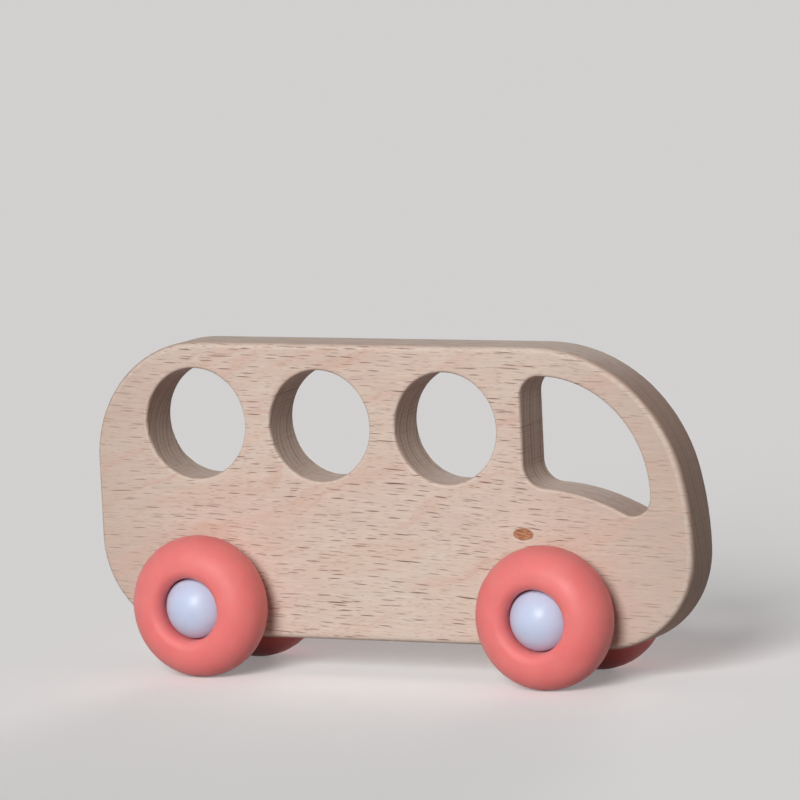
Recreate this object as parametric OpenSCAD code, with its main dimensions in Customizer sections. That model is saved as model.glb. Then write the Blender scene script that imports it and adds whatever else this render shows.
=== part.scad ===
// Push-along toy bus: one beech board on edge, with three round windows and a front window,
// on four soft wheels that turn on two steel axles.
// The front is +X, the left side is +Y and the ground is z = 0.

/* [Board] */
// Length of the board, rear end to front end
board_len = 150; // [125:1:190]
// Height of the board, underside to roof
board_h = 68; // [62:1:80]
// Thickness of the board
board_t = 12; // [9:0.5:20]
// Height of the underside above the ground
ground_gap = 8; // [5:0.5:10]
// Radius of the round-over along the outer edges
edge_round = 1.5; // [0.5:0.1:3]
// Radius of both lower corners, seen from the side
lower_r = 22.4; // [15:0.1:26]
// Radius of the rear upper corner, seen from the side
rear_r = 27.6; // [20:0.1:34]
// Radius of the nose, from the roof down to the bulge
nose_r = 36.6; // [30:0.1:42]
// Radius of the slight bulge of the front end
bulge_r = 76; // [65:1:100]

/* [Round windows] */
// Number of round windows
window_count = 3; // [2:1:5]
// Wood left behind the first window
rear_wall = 13.5; // [10:0.1:20]
// Wood left between neighbouring windows
window_wall = 6.5; // [4:0.1:10]
// Wood left between the last round window and the front window
front_wall = 6.4; // [4:0.1:10]
// Wood left between the round windows and the roof
window_roof = 6.1; // [4:0.1:9]
// Radius of the round-over along every window's rims
rim_round = 0.8; // [0.3:0.1:1.5]

/* [Front window] */
// Distance of the front window's rear edge from the front end
front_back = 40.9; // [39:0.1:42.5]
// Radius of the curved upper edge
arc_r = 26.1; // [24:0.1:28]
// Wood left between the curved edge and the roof
arc_roof = 6.6; // [5:0.1:9]
// Distance of the curve's centre ahead of the rear edge
arc_ahead = 4.9; // [4.8:0.1:6.5]
// Radius of the low lobe at the front end of the sill
lobe_r = 4.4; // [3:0.1:5.5]
// Angle of the lobe below the level of the curve's centre
lobe_dip = 1; // [0:0.5:6]
// Radius of the upper rear corner
high_r = 4.7; // [2.5:0.1:4.8]
// Radius of the lower rear corner
low_r = 5.2; // [3.5:0.1:7]
// Height of the lower rear corner's centre above the curve's centre
low_rise = 6.1; // [5:0.1:8.5]
// Radius of the hump of the sill
sill_r = 50; // [35:1:65]

/* [Axles and bushes] */
// Diameter of an axle rod
axle_d = 4; // [3:0.1:5]
// Distance of the rear axle from the rear end
rear_overhang = 29.5; // [25:0.1:33]
// Distance of the front axle from the front end
front_overhang = 33.2; // [28:0.1:38]
// Outer diameter of a bush's barrel
bush_d = 7; // [6.4:0.1:8.5]
// Length of a bush's barrel in the board
bush_len = 4; // [2:0.1:4.2]
// Diameter of a bush's flange
bush_flange_d = 11; // [9.5:0.1:12.5]
// Thickness of a bush's flange
bush_flange_t = 0.8; // [0.5:0.1:1.2]

/* [Wheels] */
// Diameter of a wheel
wheel_d = 32.5; // [30:0.1:36]
// Width of a wheel
wheel_w = 14.4; // [14:0.1:17]
// Radius of the tread's rounding
tread_round = 6.8; // [5:0.1:7]
// Gap between a tyre and the board
wheel_gap = 0.6; // [0.4:0.1:1.5]
// Outer diameter of the hub's sleeve
hub_d = 9; // [8:0.1:10.5]
// Diameter of the hub's two flanges
hub_flange_d = 12.8; // [11.5:0.1:13.2]
// Thickness of a hub flange
hub_flange_t = 1.2; // [0.8:0.1:1.6]
// Length of the hub
hub_len = 7; // [6:0.1:7.4]

/* [Caps] */
// Diameter of a domed cap
cap_d = 13.8; // [12.6:0.1:14.4]
// Length of the cap's straight skirt
skirt_len = 3.3; // [2.5:0.1:3.8]
// Height of the dome above its skirt
dome_h = 4.1; // [3.2:0.1:5]
// Diameter of a push nut
nut_d = 8.6; // [7.5:0.1:10]
// Thickness of a push nut
nut_t = 0.6; // [0.4:0.1:0.9]
// Number of gripping fingers of a push nut
nut_fingers = 6; // [4:1:8]
// Width of the slots between the fingers
nut_slot_w = 0.7; // [0.4:0.1:1]
// How far an axle rod reaches into each cap
rod_reach = 3.7; // [2:0.1:4.5]

/* [Clearances] */
// Radial clearance where a rod turns
run_gap = 0.05; // [0.02:0.01:0.1]
// Gap beside a part that turns against another
side_gap = 0.15; // [0.1:0.01:0.25]
// Radial gap between a cap and the tyre around it
cap_gap = 0.3; // [0.2:0.05:0.6]
// Gap left in the model where parts are pressed together
press_gap = 0.02; // [0.01:0.005:0.05]

/* [Hidden] */
$fn = 96;

// Sides of the bus: the direction of Y towards each wheel's outer face
right = -1;
left = 1;

// Reach of a cutter past the faces it cuts
past = 1;

// Board outline, in the plane of the board: X along the bus, Y up
half_t = board_t / 2;
front_x = board_len / 2;
rear_x = -front_x;
roof_z = ground_gap + board_h;
lower_z = ground_gap + lower_r;
lower_front_c = [front_x - lower_r, lower_z];
lower_rear_c = [rear_x + lower_r, lower_z];
rear_c = [rear_x + rear_r, roof_z - rear_r];
bulge_c = [front_x - bulge_r, lower_z];
bulge_angle = asin((board_h - nose_r - lower_r) / (bulge_r - nose_r));
nose_c = bulge_c + (bulge_r - nose_r) * unit(bulge_angle);

// Front window outline, in the same plane: the curve, its lobe, two corners and the sill
window_back = front_x - front_back;
arc_c = [window_back + arc_ahead, roof_z - arc_roof - arc_r];
lobe_c = arc_c + (arc_r - lobe_r) * unit(-lobe_dip);
high_c = [window_back + high_r, arc_c.y + sqrt(pow(arc_r - high_r, 2) - pow(arc_ahead - high_r, 2))];
low_c = [window_back + low_r, arc_c.y + low_rise];
sill_c = point_below(low_c, sill_r + low_r, lobe_c, sill_r + lobe_r);
high_angle = heading(arc_c, high_c);
sill_from = heading(sill_c, lobe_c);
sill_to = heading(sill_c, low_c);
lobe_to = 360 - lobe_dip;
arc_steps = 20;
rim_steps = 4;

// Round windows, in the same plane: the row fills the length between the rear wall and the front window
window_room = window_back - front_wall - rear_x - rear_wall;
window_pitch = (window_room + window_wall) / window_count;
window_d = window_pitch - window_wall;
window_x = rear_x + rear_wall + window_d / 2;
window_z = roof_z - window_roof - window_d / 2;

// Axles and wheels: distances outwards are from the middle plane of the board
axle_z = wheel_d / 2;
rear_axle_x = rear_x + rear_overhang;
front_axle_x = front_x - front_overhang;
bush_bore_r = axle_d / 2 + run_gap;
tyre_in = half_t + wheel_gap;
tyre_out = tyre_in + wheel_w;
hub_in = half_t + bush_flange_t + side_gap;
hub_out = hub_in + hub_len;
cap_in = hub_out + side_gap;
dome_in = cap_in + skirt_len;
rod_end = cap_in + rod_reach;
tyre_hole_r = cap_d / 2 + cap_gap;
crest_r = wheel_d / 2 - tread_round;
lip_round = crest_r - tyre_hole_r;
dome_r = (pow(cap_d / 2, 2) + pow(dome_h, 2)) / (2 * dome_h);

// Unit vector at an angle, and the heading from one point to another
function unit(a) = [cos(a), sin(a)];
function heading(p, q) = atan2(q.y - p.y, q.x - p.x);

// Points along an arc, without its last one
function arc_points(c, r, from, to) =
  [for (i = [0 : arc_steps - 1]) c + r * unit(from + (to - from) * i / arc_steps)];

// Outline of the front window, moved out into the wood by a distance
function window_outline(out) = concat(
  arc_points(arc_c, arc_r + out, -lobe_dip, high_angle),
  arc_points(high_c, high_r + out, high_angle, 180),
  [high_c - [high_r + out, 0]],
  arc_points(low_c, low_r + out, 180, sill_to + 180),
  arc_points(sill_c, sill_r - out, sill_to, sill_from),
  arc_points(lobe_c, lobe_r + out, sill_from + 180, lobe_to)
);

// Lower meeting point of a circle round p and a circle round q, with q to the right of p
function point_below(p, p_r, q, q_r) =
  let (gap = norm(q - p))
  let (ahead = (q - p) / gap)
  let (along = (p_r * p_r - q_r * q_r + gap * gap) / (2 * gap))
  let (aside = sqrt(p_r * p_r - along * along))
  p + along * ahead + aside * [ahead.y, -ahead.x];

// Section of the board from a centre line out to its rounded edge at x = r
module edge_section(r) {
  translate([0, -half_t])
    square([r - edge_round, board_t]);
  translate([0, edge_round - half_t])
    square([r, board_t - 2 * edge_round]);
  for (y = [-1, 1])
    translate([r - edge_round, y * (half_t - edge_round)])
      circle(edge_round);
}

// Section of a round window's cutter, flared past the wall at x = r where its rims are rounded
module rim_section(r) {
  difference() {
    translate([0, -half_t - past])
      square([r + rim_round, board_t + 2 * past]);
    translate([r, rim_round - half_t])
      square([2 * rim_round, board_t - 2 * rim_round]);
    for (y = [-1, 1])
      translate([r + rim_round, y * (half_t - rim_round)])
        circle(rim_round);
  }
}

// A section turned about a point of the outline, from one angle to another
module sector(c, from, to) {
  translate([c.x, c.y, 0])
    rotate(from)
      rotate_extrude(angle = to - from)
        children();
}

// A section drawn along a straight stretch that runs back from p, facing an angle
module strip(p, facing, len) {
  translate([p.x, p.y, 0])
    rotate([90, 0, facing])
      linear_extrude(len)
        children();
}

// Board with rounded edges and no openings, lying flat
module board_blank() {
  roof_deep = max(nose_r, rear_r);
  rear_deep = max(rear_r, lower_r);
  core_foot = ground_gap + 2 * edge_round;
  sector(lower_front_c, -90, 0) edge_section(lower_r);
  sector(bulge_c, 0, bulge_angle) edge_section(bulge_r);
  sector(nose_c, bulge_angle, 90) edge_section(nose_r);
  sector(rear_c, 90, 180) edge_section(rear_r);
  sector(lower_rear_c, 180, 270) edge_section(lower_r);
  strip([rear_c.x, roof_z - roof_deep], 90, nose_c.x - rear_c.x) edge_section(roof_deep);
  strip([rear_x + rear_deep, lower_z], 180, rear_c.y - lower_z) edge_section(rear_deep);
  strip(lower_front_c, 270, lower_front_c.x - lower_rear_c.x) edge_section(lower_r);
  translate([rear_c.x, core_foot, -half_t])
    cube([nose_c.x - rear_c.x, board_h - 4 * edge_round, board_t]);
}

// Cutter of the front window, lying flat: its outline in layers, flared where the rims are rounded
module front_window() {
  turns = [for (i = [0 : rim_steps]) 90 * i / rim_steps];
  foot = [for (a = turns) [rim_round * (1 - sin(a)), rim_round * (1 - cos(a)) - half_t]];
  head = [for (i = [rim_steps : -1 : 0]) [foot[i].x, -foot[i].y]];
  layers = concat([[rim_round, -half_t - past]], foot, head, [[rim_round, half_t + past]]);
  count = len(window_outline(0));
  top = len(layers) - 1;
  middle = (arc_c + high_c + lobe_c + low_c) / 4;
  rings = [for (layer = layers) for (p = window_outline(layer.x)) [p.x, p.y, layer.y]];
  ends = [for (layer = [layers[0], layers[top]]) [middle.x, middle.y, layer.y]];
  walls = [for (k = [0 : top - 1]) for (i = [0 : count - 1])
    let (j = (i + 1) % count)
    [k * count + i, (k + 1) * count + i, (k + 1) * count + j, k * count + j]];
  bottom = [for (i = [0 : count - 1]) [len(rings), i, (i + 1) % count]];
  lid = [for (i = [0 : count - 1]) [len(rings) + 1, top * count + (i + 1) % count, top * count + i]];
  polyhedron(concat(rings, ends), concat(walls, bottom, lid));
}

// Cutter of the round windows, lying flat
module round_windows() {
  for (i = [0 : window_count - 1])
    translate([window_x + i * window_pitch, window_z, 0])
      rotate_extrude()
        rim_section(window_d / 2);
}

// Bores for the bushes, lying flat
module axle_bores() {
  for (x = [rear_axle_x, front_axle_x])
    translate([x, axle_z, 0])
      cylinder(r = bush_d / 2 + press_gap, h = board_t + 2 * past, center = true);
}

// Beech board, standing on edge
module body() {
  color([0.82, 0.70, 0.60])
    rotate([90, 0, 0])
      difference() {
        board_blank();
        round_windows();
        front_window();
        axle_bores();
      }
}

// Places a part that is built along +Z outwards on one end of an axle
module on_axle(x, side) {
  translate([x, 0, axle_z])
    rotate([-90 * side, 0, 0])
      children();
}

// Steel rod through both wheels of an axle
module axle(x) {
  color([0.72, 0.73, 0.75])
    on_axle(x, left)
      cylinder(d = axle_d, h = 2 * rod_end, center = true);
}

// Flanged nylon bush in the board, which the rod turns in
module bush(x, side) {
  color([0.86, 0.84, 0.78])
    on_axle(x, side)
      difference() {
        union() {
          translate([0, 0, half_t - bush_len])
            cylinder(d = bush_d, h = bush_len + bush_flange_t / 2);
          translate([0, 0, half_t])
            cylinder(d = bush_flange_d, h = bush_flange_t);
        }
        cylinder(r = bush_bore_r, h = 2 * half_t);
      }
}

// Section of a tyre: round tread, rounded lips round the cap's hole, and the web in the hub's groove
module tyre_section() {
  web_in = hub_in + hub_flange_t + press_gap;
  web_out = hub_out - hub_flange_t - press_gap;
  web_r = hub_d / 2 + press_gap;
  intersection() {
    union() {
      for (z = [tyre_in + tread_round, tyre_out - tread_round])
        translate([crest_r, z])
          circle(tread_round);
      translate([crest_r, tyre_in + tread_round])
        square([tread_round, wheel_w - 2 * tread_round]);
    }
    translate([crest_r, tyre_in])
      square([tread_round, wheel_w]);
  }
  for (z = [tyre_in + lip_round, tyre_out - lip_round])
    translate([crest_r, z])
      circle(lip_round);
  translate([tyre_hole_r, tyre_in + lip_round])
    square([lip_round, wheel_w - 2 * lip_round]);
  translate([web_r, web_in])
    square([crest_r - web_r, web_out - web_in]);
}

// Soft ring whose web sits in the hub's groove
module tyre(x, side) {
  color([0.90, 0.43, 0.41])
    on_axle(x, side)
      rotate_extrude()
        tyre_section();
}

// Hard spool that carries the tyre and turns on the rod
module hub(x, side) {
  color([0.90, 0.90, 0.92])
    on_axle(x, side)
      translate([0, 0, hub_in])
        difference() {
          union() {
            cylinder(d = hub_d, h = hub_len);
            for (z = [0, hub_len - hub_flange_t])
              translate([0, 0, z])
                cylinder(d = hub_flange_d, h = hub_flange_t);
          }
          translate([0, 0, -past])
            cylinder(r = axle_d / 2 + run_gap, h = hub_len + 2 * past);
        }
}

// Spring-steel nut pushed onto the end of the rod, with fingers that grip it
module push_nut(x, side) {
  slot_len = (nut_d + axle_d) / 4;
  color([0.62, 0.63, 0.66])
    on_axle(x, side)
      translate([0, 0, cap_in])
        difference() {
          cylinder(d = nut_d, h = nut_t);
          translate([0, 0, -past])
            cylinder(r = axle_d / 2 + press_gap, h = nut_t + 2 * past);
          for (i = [0 : nut_fingers - 1])
            rotate(i * 360 / nut_fingers)
              translate([0, -nut_slot_w / 2, -past])
                cube([slot_len, nut_slot_w, nut_t + 2 * past]);
        }
}

// Domed cap that covers the push nut and the end of the rod
module cap(x, side) {
  color([0.93, 0.94, 0.97])
    on_axle(x, side)
      difference() {
        intersection() {
          translate([0, 0, dome_in + dome_h - dome_r])
            sphere(dome_r);
          translate([0, 0, cap_in])
            cylinder(d = cap_d, h = skirt_len + dome_h + past);
        }
        translate([0, 0, cap_in - past])
          cylinder(r = nut_d / 2 + press_gap, h = past + nut_t + press_gap);
        translate([0, 0, cap_in])
          cylinder(r = axle_d / 2 + press_gap, h = rod_reach + press_gap);
      }
}

body();
axle(front_axle_x);  // front_axle
axle(rear_axle_x);  // rear_axle
bush(front_axle_x, right);  // front_right_bush
bush(front_axle_x, left);  // front_left_bush
bush(rear_axle_x, right);  // rear_right_bush
bush(rear_axle_x, left);  // rear_left_bush
tyre(front_axle_x, right);  // front_right_tyre
tyre(front_axle_x, left);  // front_left_tyre
tyre(rear_axle_x, right);  // rear_right_tyre
tyre(rear_axle_x, left);  // rear_left_tyre
hub(front_axle_x, right);  // front_right_hub
hub(front_axle_x, left);  // front_left_hub
hub(rear_axle_x, right);  // rear_right_hub
hub(rear_axle_x, left);  // rear_left_hub
push_nut(front_axle_x, right);  // front_right_push_nut
push_nut(front_axle_x, left);  // front_left_push_nut
push_nut(rear_axle_x, right);  // rear_right_push_nut
push_nut(rear_axle_x, left);  // rear_left_push_nut
cap(front_axle_x, right);  // front_right_cap
cap(front_axle_x, left);  // front_left_cap
cap(rear_axle_x, right);  // rear_right_cap
cap(rear_axle_x, left);  // rear_left_cap
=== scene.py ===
from math import cos, radians, sin

import bpy
from mathutils import Matrix, Vector

# Toy bus: a beech board on edge with four coral silicone wheels and white domed caps.
# The solids already have the true shapes, so the looks are in the materials.

MM = 0.001
PER_MM = 1000.0

# Camera: where it stands round the part, and how far it is turned about its own axis, in degrees
CAMERA_AZIMUTH = 27.23
CAMERA_ELEVATION = 7.51
CAMERA_ROLL = 2.71
CAMERA_DISTANCE = 1594.6 * MM
CAMERA_TARGET = Vector((-3.05, 8.04, 61.46)) * MM
CAMERA_LENS = 315.3
CAMERA_SENSOR = 36.0

# Light: a soft lamp in front, a low one behind, and a dim room that looks bright, with angles in degrees
KEY_AZIMUTH = 5.0
KEY_ELEVATION = 25.0
KEY_STRENGTH = 2.8
KEY_SPREAD = 26.0
BACK_AZIMUTH = 190.0
BACK_ELEVATION = 4.0
BACK_STRENGTH = 2.8
BACK_SPREAD = 22.0
ROOM_STRENGTH = 0.10
ROOM_SEEN = 0.62

# Floor: its size in metres, its colour as seen and as it lights the part, and a glow that lifts it a little
FLOOR_SIZE = 20.0
FLOOR_SEEN = (0.80, 0.785, 0.78, 1.0)
FLOOR_BOUNCE = (0.44, 0.43, 0.43, 1.0)
FLOOR_GLOW = (1.0, 0.985, 0.98, 1.0)
FLOOR_LIFT = 0.20

# The pin knot in the right face of the board: its middle, half its size and its depth, in millimetres
KNOT_X = 33.6
KNOT_Z = 33.7
KNOT_HALF_X = 2.62
KNOT_HALF_Z = 1.5
KNOT_FACE_Y = -6.0
KNOT_DEPTH = 5.0

# Grain of the board, in millimetres: the fibres fall a little towards the front, the rings lie round a pith
# line far behind the left face, which climbs towards the front, and the rays are strongest near the middle
GRAIN_FALL = 0.035
PITH_Y = 110.0
PITH_Z = 34.0
PITH_CLIMB = 0.40
RING_WIDTH = 1.7
RAYS_MIDDLE_X = -5.0


def srgb(red, green, blue):
    """Linear colour from the three values a picture shows, 0 to 255."""
    def linear(value):
        share = value / 255.0
        return share / 12.92 if share <= 0.04045 else ((share + 0.055) / 1.055) ** 2.4
    return (linear(red), linear(green), linear(blue), 1.0)


# Colours of the wood
BEECH_PALE = srgb(214, 196, 181)
BEECH_ROSY = srgb(212, 190, 176)
BEECH_CLOUD = srgb(206, 183, 170)
# Painted shade towards both ends of the board
BEECH_END_SHADE = srgb(178, 155, 142)
FIBRE_DARK = srgb(192, 168, 153)
FIBRE_LIGHT = srgb(225, 210, 197)
FACE_RING = srgb(212, 174, 154)
FACE_WISP = srgb(205, 168, 151)
END_RING = srgb(132, 97, 80)
# Oil in the cut grain, and painted shade at both ends of the board
END_OIL_AND_SHADE = srgb(140, 103, 84)
EDGE_STREAK = srgb(146, 111, 93)
# Worn rims, and painted highlight on the rounding
RIM_WORN_AND_HIGHLIGHT = srgb(230, 216, 205)
RAY_SMALL = srgb(142, 102, 86)
RAY_SHORT = srgb(115, 77, 62)
RAY_LONG = srgb(105, 69, 55)
KNOT_LIGHT = srgb(190, 139, 106)
KNOT_DARK = srgb(146, 97, 70)
KNOT_EDGE = srgb(140, 94, 69)

# Colours of the silicone and of the caps
CORAL = srgb(237, 132, 129)
CORAL_DEEP = srgb(233, 126, 124)
CORAL_DUST = srgb(246, 190, 184)
CAP_PALE = srgb(202, 212, 236)
CAP_BLUISH = srgb(198, 209, 234)


class Shader:
    """One material's or the world's node tree, with short calls for the nodes that it is made of."""

    def __init__(self, owner):
        owner.use_nodes = True
        self.tree = owner.node_tree
        self.tree.nodes.clear()

    def node(self, kind, inputs=None, **settings):
        made = self.tree.nodes.new("ShaderNode" + kind)
        for name, value in settings.items():
            setattr(made, name, value)
        for name, value in (inputs or {}).items():
            self.feed(made.inputs[name], value)
        return made

    def feed(self, socket, value):
        if isinstance(value, bpy.types.NodeSocket):
            self.tree.links.new(value, socket)
        else:
            socket.default_value = value

    def math(self, operation, first, second=0.0, third=0.0):
        return self.node("Math", {0: first, 1: second, 2: third}, operation=operation).outputs[0]

    def plus(self, first, second):
        return self.math("ADD", first, second)

    def minus(self, first, second):
        return self.math("SUBTRACT", first, second)

    def times(self, first, second):
        return self.math("MULTIPLY", first, second)

    def over(self, first, second):
        return self.math("DIVIDE", first, second)

    def hypotenuse(self, first, second):
        squares = self.plus(self.math("POWER", first, 2.0), self.math("POWER", second, 2.0))
        return self.math("SQRT", squares)

    def vector(self, operation, first, second=(0.0, 0.0, 0.0)):
        return self.node("VectorMath", {0: first, 1: second}, operation=operation).outputs[0]

    def scaled(self, vector, factor):
        return self.node("VectorMath", {0: vector, "Scale": factor}, operation="SCALE").outputs[0]

    def split(self, vector):
        return self.node("SeparateXYZ", {0: vector}).outputs

    def joined(self, x, y, z):
        return self.node("CombineXYZ", {0: x, 1: y, 2: z}).outputs[0]

    def noise(self, vector, scale=1.0, detail=2.0, roughness=0.5):
        inputs = {"Vector": vector, "Scale": scale, "Detail": detail, "Roughness": roughness}
        return self.node("TexNoise", inputs).outputs["Fac"]

    def stretched(self, vector, scales, detail=2.0, roughness=0.5):
        """Noise with a scale of its own along each axis."""
        return self.noise(self.vector("MULTIPLY", vector, scales), detail=detail, roughness=roughness)

    def ramp(self, value, low, high, to_low=0.0, to_high=1.0, kind="SMOOTHSTEP"):
        inputs = {"Value": value, "From Min": low, "From Max": high, "To Min": to_low, "To Max": to_high}
        return self.node("MapRange", inputs, interpolation_type=kind).outputs["Result"]

    def mix(self, factor, first, second):
        return self.node("Mix", {0: factor, 6: first, 7: second}, data_type="RGBA").outputs[2]

    def bump(self, height, strength, distance):
        inputs = {"Height": height, "Strength": strength, "Distance": distance}
        return self.node("Bump", inputs).outputs["Normal"]

    def place(self):
        """Position on the part, in millimetres."""
        return self.scaled(self.node("TexCoord").outputs["Object"], PER_MM)


def finished(shader, inputs):
    """Ends a material's tree in one Principled surface."""
    surface = shader.node("BsdfPrincipled", inputs)
    shader.node("OutputMaterial", {"Surface": surface.outputs["BSDF"]})


def pin_knot(shader, place):
    """Distance from the knot's middle in knot sizes, the knot itself and the wood near it."""
    x, y, z = shader.split(place)
    along = shader.over(shader.minus(x, KNOT_X), KNOT_HALF_X)
    across = shader.over(shader.minus(z, KNOT_Z), KNOT_HALF_Z)
    wave = shader.noise(place, scale=0.5, detail=0.0)
    reach = shader.plus(shader.hypotenuse(along, across), shader.ramp(wave, 0.3, 0.7, -0.05, 0.05))
    depth = shader.ramp(y, KNOT_FACE_Y + 0.4 * KNOT_DEPTH, KNOT_FACE_Y + KNOT_DEPTH, 1.0, 0.0)
    knot = shader.times(shader.ramp(reach, 0.82, 1.04, 1.0, 0.0), depth)
    near = shader.times(shader.ramp(reach, 0.8, 3.2, 1.0, 0.0), depth)
    return reach, knot, near


def knot_colour(shader, place, reach):
    """Brown, with fine curved lines inside and a darker edge."""
    lines = shader.stretched(place, (0.7, 0.7, 3.4), detail=3.0, roughness=0.7)
    inside = shader.mix(shader.ramp(lines, 0.38, 0.62), KNOT_LIGHT, KNOT_DARK)
    return shader.mix(shader.ramp(reach, 0.70, 0.98, 0.0, 0.6), inside, KNOT_EDGE)


def grain_height(shader, place, knot_near):
    """Height across the fibres, which fall to the front, wander slowly and part round the knot."""
    x, _, z = shader.split(place)
    drift = shader.stretched(place, (0.011, 0.02, 0.030), detail=1.0)
    wander = shader.ramp(drift, 0.25, 0.75, -1.8, 1.8, kind="LINEAR")
    ripple = shader.stretched(place, (0.10, 0.15, 0.25), detail=1.0)
    waver = shader.ramp(ripple, 0.25, 0.75, -0.12, 0.12, kind="LINEAR")
    bow = shader.times(shader.minus(z, KNOT_Z), shader.times(knot_near, -0.45))
    level = shader.math("MULTIPLY_ADD", x, GRAIN_FALL, z)
    return shader.plus(shader.plus(level, wander), shader.plus(waver, bow))


def growth_rings(shader, place, grain_z):
    """Height above the pith, and the dark late wood of the rings, which are shells round the pith."""
    x, y, _ = shader.split(place)
    above_pith = shader.minus(grain_z, shader.math("MULTIPLY_ADD", x, PITH_CLIMB, PITH_Z))
    wobble = shader.stretched(place, (0.02, 0.06, 0.05))
    reach = shader.hypotenuse(shader.minus(y, PITH_Y), above_pith)
    reach = shader.plus(reach, shader.ramp(wobble, 0.25, 0.75, -1.1, 1.1, kind="LINEAR"))
    seasons = shader.noise(shader.joined(shader.times(reach, 0.33), 0.0, 0.0), detail=1.0)
    rings = shader.over(shader.plus(reach, shader.ramp(seasons, 0.2, 0.8, -0.6, 0.6)), RING_WIDTH)
    share = shader.math("FRACT", rings)
    dice = shader.node("TexWhiteNoise", {"W": shader.math("FLOOR", rings)}, noise_dimensions="1D")
    profile = shader.times(shader.math("POWER", share, 2.0), shader.ramp(share, 0.78, 1.0, 1.0, 0.0))
    late_wood = shader.times(profile, shader.ramp(dice.outputs["Value"], 0.0, 1.0, 0.55, 1.0))
    return above_pith, late_wood


def ray_flecks(shader, grain, spacing, half_size, share, random_offset):
    """Slim flecks of the wood's rays, at most one in each cell of the spacing, all in millimetres."""
    cells = shader.vector("DIVIDE", shader.vector("ADD", grain, random_offset), spacing)
    found = shader.node("TexVoronoi", {"Vector": cells, "Scale": 1.0, "Randomness": 0.8}).outputs
    dice = shader.node("SeparateColor", {0: found["Color"]}).outputs
    away = shader.vector("SUBTRACT", cells, found["Position"])
    away = shader.vector("MULTIPLY", away, tuple(step / half for step, half in zip(spacing, half_size)))
    reach = shader.node("VectorMath", {0: away}, operation="LENGTH").outputs["Value"]
    size = shader.ramp(dice[1], 0.0, 1.0, 0.5, 1.0, kind="LINEAR")
    fleck = shader.ramp(shader.over(reach, size), 0.45, 1.0, 1.0, 0.0)
    there = shader.math("LESS_THAN", dice[0], share)
    depth = shader.ramp(dice[2], 0.0, 1.0, 0.4, 1.0, kind="LINEAR")
    return shader.times(shader.times(fleck, there), depth)


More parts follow.
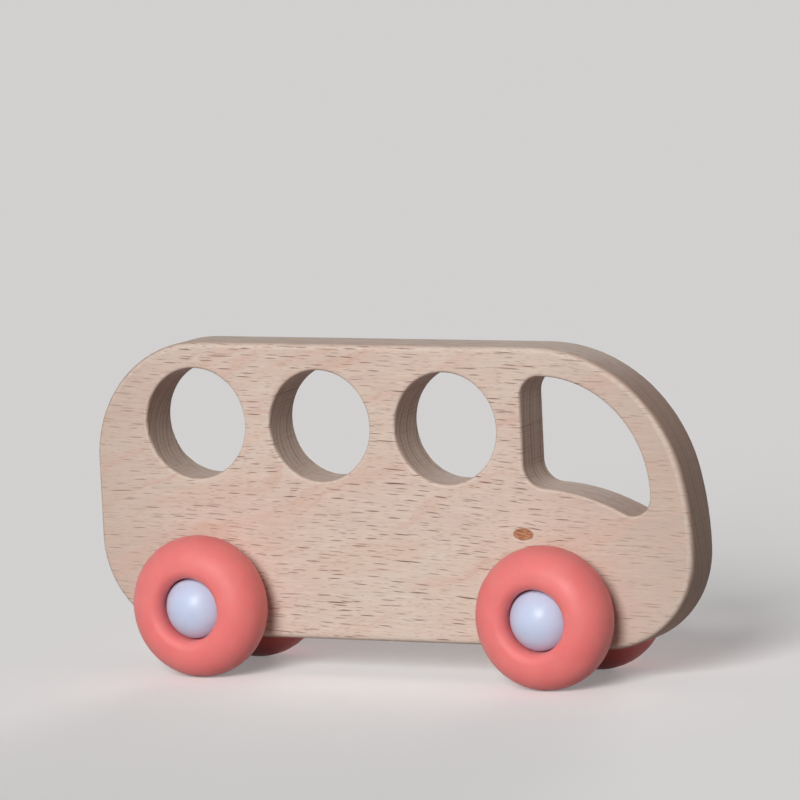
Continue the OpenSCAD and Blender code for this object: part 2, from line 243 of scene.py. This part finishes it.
def beech():
    """Flat-sawn beech: rays, growth rings, fibres, slow changes of tint and one pin knot."""
    material = bpy.data.materials.new("oiled_beech")
    shader = Shader(material)
    place = shader.place()
    x, y, _ = shader.split(place)
    knot_reach, knot, knot_near = pin_knot(shader, place)
    grain_z = grain_height(shader, place, knot_near)
    above_pith, late_wood = growth_rings(shader, place, grain_z)

    # Rays: a few long dark ones, many short ones and a scatter of small ones
    grain = shader.joined(x, y, grain_z)
    long_rays = ray_flecks(shader, grain, (15.0, 24.0, 3.4), (4.2, 24.0, 0.22), 0.6, (0.0, 0.0, 0.0))
    short_rays = ray_flecks(shader, grain, (5.2, 14.0, 1.0), (2.5, 15.0, 0.17), 0.95, (31.0, 17.0, 5.3))
    small_rays = ray_flecks(shader, grain, (3.4, 12.0, 0.75), (1.0, 12.0, 0.14), 0.8, (47.0, 23.0, 8.9))

    # They crowd in slanting patches and grow fainter towards both ends of the board
    patches = shader.stretched(shader.joined(x, y, above_pith), (0.03, 0.05, 0.11))
    off_middle = shader.math("ABSOLUTE", shader.minus(x, RAYS_MIDDLE_X))
    crowding = shader.times(shader.ramp(patches, 0.35, 0.65, 0.82, 1.0),
                            shader.ramp(off_middle, 38.0, 72.0, 1.0, 0.50))

    # How far the surface is end grain, sawn face or edge grain
    facing = shader.split(shader.node("NewGeometry").outputs["Normal"])
    flatness = shader.math("ABSOLUTE", facing[1])
    end_grain = shader.ramp(shader.math("ABSOLUTE", facing[0]), 0.30, 0.90)
    flat_grain = shader.ramp(flatness, 0.30, 0.90)
    edge_grain = shader.ramp(shader.math("ABSOLUTE", facing[2]), 0.30, 0.90)

    # Slow tints, fibres, and painted shade darkening the wood towards both ends
    tint = shader.stretched(place, (0.020, 0.05, 0.050))
    cloud = shader.stretched(place, (0.07, 0.1, 0.16))
    fibres = shader.stretched(grain, (0.14, 1.6, 3.2), detail=3.0, roughness=0.6)
    colour = shader.mix(shader.ramp(tint, 0.35, 0.65), BEECH_PALE, BEECH_ROSY)
    colour = shader.mix(shader.ramp(cloud, 0.30, 0.75, 0.0, 0.35), colour, BEECH_CLOUD)
    colour = shader.mix(shader.ramp(fibres, 0.50, 0.75, 0.0, 0.50), colour, FIBRE_DARK)
    colour = shader.mix(shader.ramp(fibres, 0.50, 0.28, 0.0, 0.45), colour, FIBRE_LIGHT)
    # Painted shade: the wood is darkened towards both ends of the board
    colour = shader.mix(shader.ramp(off_middle, 30.0, 80.0, 0.0, 0.45), colour, BEECH_END_SHADE)

    # On the faces: faint broken rings, and thin curled wisps along their slant
    broken = shader.ramp(shader.stretched(place, (0.04, 0.05, 0.08)), 0.40, 0.62)
    face_rings = shader.times(late_wood, shader.times(flat_grain, broken))
    colour = shader.mix(shader.times(face_rings, 0.65), colour, FACE_RING)
    flame = shader.stretched(place, (0.05, 0.08, 0.10))
    curled = shader.joined(x, y, shader.plus(above_pith, shader.ramp(flame, 0.25, 0.75, -2.2, 2.2)))
    wisps = shader.stretched(curled, (0.03, 0.1, 0.38), detail=4.0, roughness=0.6)
    face_wisps = shader.times(shader.ramp(wisps, 0.53, 0.70, 0.0, 0.5), flat_grain)
    colour = shader.mix(face_wisps, colour, FACE_WISP)

    # On the ends and edges: clear rings, oil that has soaked in, painted shade towards both ends of the
    # board, and streaks
    ring_depth = shader.ramp(off_middle, 66.0, 77.0, 0.90, 0.55)
    end_rings = shader.times(late_wood, shader.times(end_grain, ring_depth))
    colour = shader.mix(end_rings, colour, END_RING)
    # Oil darkens all cut grain a little and edge grain a little more; the deeper darkening towards both
    # ends of the board is painted shade
    oil_and_shade_depth = shader.ramp(off_middle, 50.0, 70.0, 0.08, 0.44)
    oil_and_shade_depth = shader.math("MULTIPLY_ADD", edge_grain, 0.14, oil_and_shade_depth)
    colour = shader.mix(shader.ramp(flat_grain, 0.0, 1.0, oil_and_shade_depth, 0.0), colour, END_OIL_AND_SHADE)
    streaks = shader.stretched(place, (0.11, 0.60, 0.45), detail=3.0, roughness=0.65)
    streak_depth = shader.times(shader.ramp(streaks, 0.48, 0.70, 0.0, 0.30), edge_grain)
    colour = shader.mix(streak_depth, colour, EDGE_STREAK)

    # Rounded rims, worn a little paler, with a painted highlight on the rounding
    rim = shader.times(shader.ramp(flatness, 0.62, 0.86), shader.ramp(flatness, 0.965, 0.998, 1.0, 0.0))
    rim_patches = shader.noise(place, scale=0.9, detail=3.0, roughness=0.7)
    colour = shader.mix(shader.times(rim, shader.ramp(rim_patches, 0.35, 0.65, 0.05, 0.32)), colour, RIM_WORN_AND_HIGHLIGHT)

    for rays, on_ends, on_faces, dark in (
        (small_rays, 0.05, 0.50, RAY_SMALL),
        (short_rays, 0.25, 0.92, RAY_SHORT),
        (long_rays, 0.62, 1.0, RAY_LONG),
    ):
        depth = shader.ramp(flat_grain, 0.0, 1.0, 0.08, on_faces)
        depth = shader.math("MULTIPLY_ADD", end_grain, on_ends, depth)
        depth = shader.times(depth, crowding)
        colour = shader.mix(shader.times(rays, depth), colour, dark)
    colour = shader.mix(knot, colour, knot_colour(shader, place, knot_reach))

    pits = shader.math("MULTIPLY_ADD", short_rays, 0.7, long_rays)
    height = shader.math("MULTIPLY_ADD", pits, -0.6, fibres)
    finished(shader, {
        "Base Color": colour,
        "Roughness": shader.ramp(fibres, 0.3, 0.7, 0.56, 0.68),
        "Specular IOR Level": 0.14,
        "Normal": shader.bump(height, 0.10, 0.12 * MM),
    })
    return material


def coral_silicone():
    """Soft satin silicone with a faint bloom and a few specks of dust."""
    material = bpy.data.materials.new("coral_silicone_satin")
    shader = Shader(material)
    place = shader.place()
    bloom = shader.noise(place, scale=0.18, detail=3.0)
    pores = shader.noise(place, scale=7.0, detail=2.0)
    cells = shader.node("TexVoronoi", {"Vector": place, "Scale": 0.42, "Randomness": 1.0}, feature="F1")
    dice = shader.node("SeparateColor", {0: cells.outputs["Color"]}).outputs
    speck = shader.ramp(cells.outputs["Distance"], 0.03, 0.07, 1.0, 0.0)
    speck = shader.times(speck, shader.math("LESS_THAN", dice[0], 0.16))
    colour = shader.mix(shader.ramp(bloom, 0.3, 0.7), CORAL, CORAL_DEEP)
    colour = shader.mix(shader.times(speck, 0.35), colour, CORAL_DUST)
    finished(shader, {
        "Base Color": colour,
        "Roughness": shader.ramp(bloom, 0.3, 0.7, 0.45, 0.53),
        "Specular IOR Level": 0.42,
        "Subsurface Weight": 0.8,
        "Subsurface Radius": (1.0, 0.25, 0.22),
        "Subsurface Scale": 4.0 * MM,
        "Normal": shader.bump(pores, 0.04, 0.05 * MM),
    })
    return material


def cap_plastic():
    """Glossy bluish-white moulded plastic with a very slight waviness."""
    material = bpy.data.materials.new("white_cap_plastic")
    shader = Shader(material)
    place = shader.place()
    cloud = shader.noise(place, scale=0.25, detail=2.0)
    waves = shader.noise(place, scale=0.9, detail=1.0)
    finished(shader, {
        "Base Color": shader.mix(shader.ramp(cloud, 0.3, 0.7), CAP_PALE, CAP_BLUISH),
        "Roughness": shader.ramp(cloud, 0.3, 0.7, 0.35, 0.41),
        "Specular IOR Level": 0.38,
        "Subsurface Weight": 0.2,
        "Subsurface Radius": (0.9, 0.8, 0.9),
        "Subsurface Scale": 1.6 * MM,
        "Normal": shader.bump(waves, 0.03, 0.1 * MM),
    })
    return material


def nylon(name, warm, cool):
    """Translucent moulded nylon with a fine matte texture."""
    material = bpy.data.materials.new(name)
    shader = Shader(material)
    place = shader.place()
    cloud = shader.noise(place, scale=0.5, detail=3.0)
    grit = shader.noise(place, scale=9.0, detail=2.0)
    finished(shader, {
        "Base Color": shader.mix(shader.ramp(cloud, 0.3, 0.7), warm, cool),
        "Roughness": shader.ramp(grit, 0.3, 0.7, 0.40, 0.55),
        "Subsurface Weight": 0.15,
        "Subsurface Radius": (0.8, 0.7, 0.6),
        "Subsurface Scale": 1.0 * MM,
        "Normal": shader.bump(grit, 0.05, 0.05 * MM),
    })
    return material


def steel(name, light, dark, stretch):
    """Drawn or rolled steel with fine scratches along one direction."""
    material = bpy.data.materials.new(name)
    shader = Shader(material)
    place = shader.place()
    scratches = shader.stretched(place, stretch, detail=4.0, roughness=0.7)
    stain = shader.noise(place, scale=0.3, detail=2.0)
    finished(shader, {
        "Base Color": shader.mix(shader.ramp(scratches, 0.3, 0.7), light, dark),
        "Metallic": 1.0,
        "Roughness": shader.ramp(stain, 0.3, 0.7, 0.24, 0.40),
        "Normal": shader.bump(scratches, 0.08, 0.05 * MM),
    })
    return material


def seen_rays(shader):
    """1 for rays from the camera, also by way of gloss or glass, and 0 for rays that light the part."""
    path = shader.node("LightPath").outputs
    seen = shader.math("MAXIMUM", path["Is Camera Ray"], path["Is Glossy Ray"])
    return shader.math("MAXIMUM", seen, path["Is Transmission Ray"])


def floor_surface():
    """Pale matte floor, which looks paler than the light that it throws back on the part."""
    material = bpy.data.materials.new("pale_floor")
    shader = Shader(material)
    seen = seen_rays(shader)
    matte = shader.node("BsdfDiffuse", {"Color": shader.mix(seen, FLOOR_BOUNCE, FLOOR_SEEN)})
    glow = shader.node("Emission", {"Color": FLOOR_GLOW, "Strength": shader.times(seen, FLOOR_LIFT)})
    both = shader.node("AddShader", {0: matte.outputs[0], 1: glow.outputs[0]})
    shader.node("OutputMaterial", {"Surface": both.outputs[0]})
    return material


def lay_floor():
    """One wide square under the wheels."""
    mesh = bpy.data.meshes.new("floor")
    half = FLOOR_SIZE / 2
    corners = [(-half, -half, 0.0), (half, -half, 0.0), (half, half, 0.0), (-half, half, 0.0)]
    mesh.from_pydata(corners, [], [(0, 1, 2, 3)])
    mesh.materials.append(floor_surface())
    floor = bpy.data.objects.new("floor", mesh)
    bpy.context.scene.collection.objects.link(floor)


def direction(azimuth, elevation):
    """Unit vector from the part towards a place round it: azimuth 0 is its right side, 90 its front."""
    a = radians(azimuth)
    e = radians(elevation)
    return Vector((sin(a) * cos(e), -cos(a) * cos(e), sin(e)))


def hang_lamp(name, azimuth, elevation, strength, spread):
    """Far lamp: where it stands round the part, and how wide it looks from there, in degrees."""
    light = bpy.data.lights.new(name, "SUN")
    light.energy = strength
    light.angle = radians(spread)
    lamp = bpy.data.objects.new(name, light)
    lamp.rotation_mode = "QUATERNION"
    lamp.rotation_quaternion = direction(azimuth, elevation).to_track_quat("Z", "Y")
    bpy.context.scene.collection.objects.link(lamp)


def light_room():
    """The two lamps, and the room's own soft light."""
    hang_lamp("key", KEY_AZIMUTH, KEY_ELEVATION, KEY_STRENGTH, KEY_SPREAD)
    hang_lamp("back", BACK_AZIMUTH, BACK_ELEVATION, BACK_STRENGTH, BACK_SPREAD)

    world = bpy.data.worlds.new("room")
    bpy.context.scene.world = world
    shader = Shader(world)
    strength = shader.ramp(seen_rays(shader), 0.0, 1.0, ROOM_STRENGTH, ROOM_SEEN, kind="LINEAR")
    glow = shader.node("Background", {"Color": (1.0, 1.0, 1.0, 1.0), "Strength": strength})
    shader.node("OutputWorld", {"Surface": glow.outputs[0]})


def set_camera():
    """Camera at the photograph's viewing angle."""
    lens = bpy.data.cameras.new("camera")
    lens.lens = CAMERA_LENS
    lens.sensor_width = CAMERA_SENSOR
    lens.clip_start = 0.05
    lens.clip_end = 50.0
    camera = bpy.data.objects.new("camera", lens)
    back = direction(CAMERA_AZIMUTH, CAMERA_ELEVATION)
    upright = back.to_track_quat("Z", "Y").to_matrix().to_4x4()
    turned = upright @ Matrix.Rotation(radians(-CAMERA_ROLL), 4, "Z")
    camera.matrix_world = Matrix.Translation(CAMERA_TARGET + back * CAMERA_DISTANCE) @ turned
    bpy.context.scene.collection.objects.link(camera)
    bpy.context.scene.camera = camera


def dress(node, material):
    """Gives a solid its material in place of the plain one."""
    mesh = node.data
    mesh.materials.clear()
    mesh.materials.append(material)


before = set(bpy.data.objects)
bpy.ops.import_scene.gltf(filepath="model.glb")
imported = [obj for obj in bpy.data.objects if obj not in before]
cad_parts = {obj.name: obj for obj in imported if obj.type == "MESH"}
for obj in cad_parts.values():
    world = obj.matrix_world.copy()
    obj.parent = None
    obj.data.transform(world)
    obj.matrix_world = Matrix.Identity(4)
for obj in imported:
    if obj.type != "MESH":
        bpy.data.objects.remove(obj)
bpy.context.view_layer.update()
bpy.context.scene.view_settings.view_transform = "Standard"

set_camera()
light_room()
lay_floor()

looks = {
    "body": beech(),
    "tyre": coral_silicone(),
    "cap": cap_plastic(),
    "bush": nylon("bush_nylon", srgb(226, 222, 210), srgb(218, 213, 200)),
    "hub": nylon("hub_nylon", srgb(232, 232, 236), srgb(224, 225, 230)),
    "axle": steel("drawn_steel", srgb(200, 201, 204), srgb(178, 180, 184), (5.0, 0.3, 5.0)),
    "nut": steel("spring_steel", srgb(176, 178, 182), srgb(150, 152, 158), (0.6, 5.0, 5.0)),
}
for name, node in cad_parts.items():
    dress(node, looks[name.split("_")[-1]])
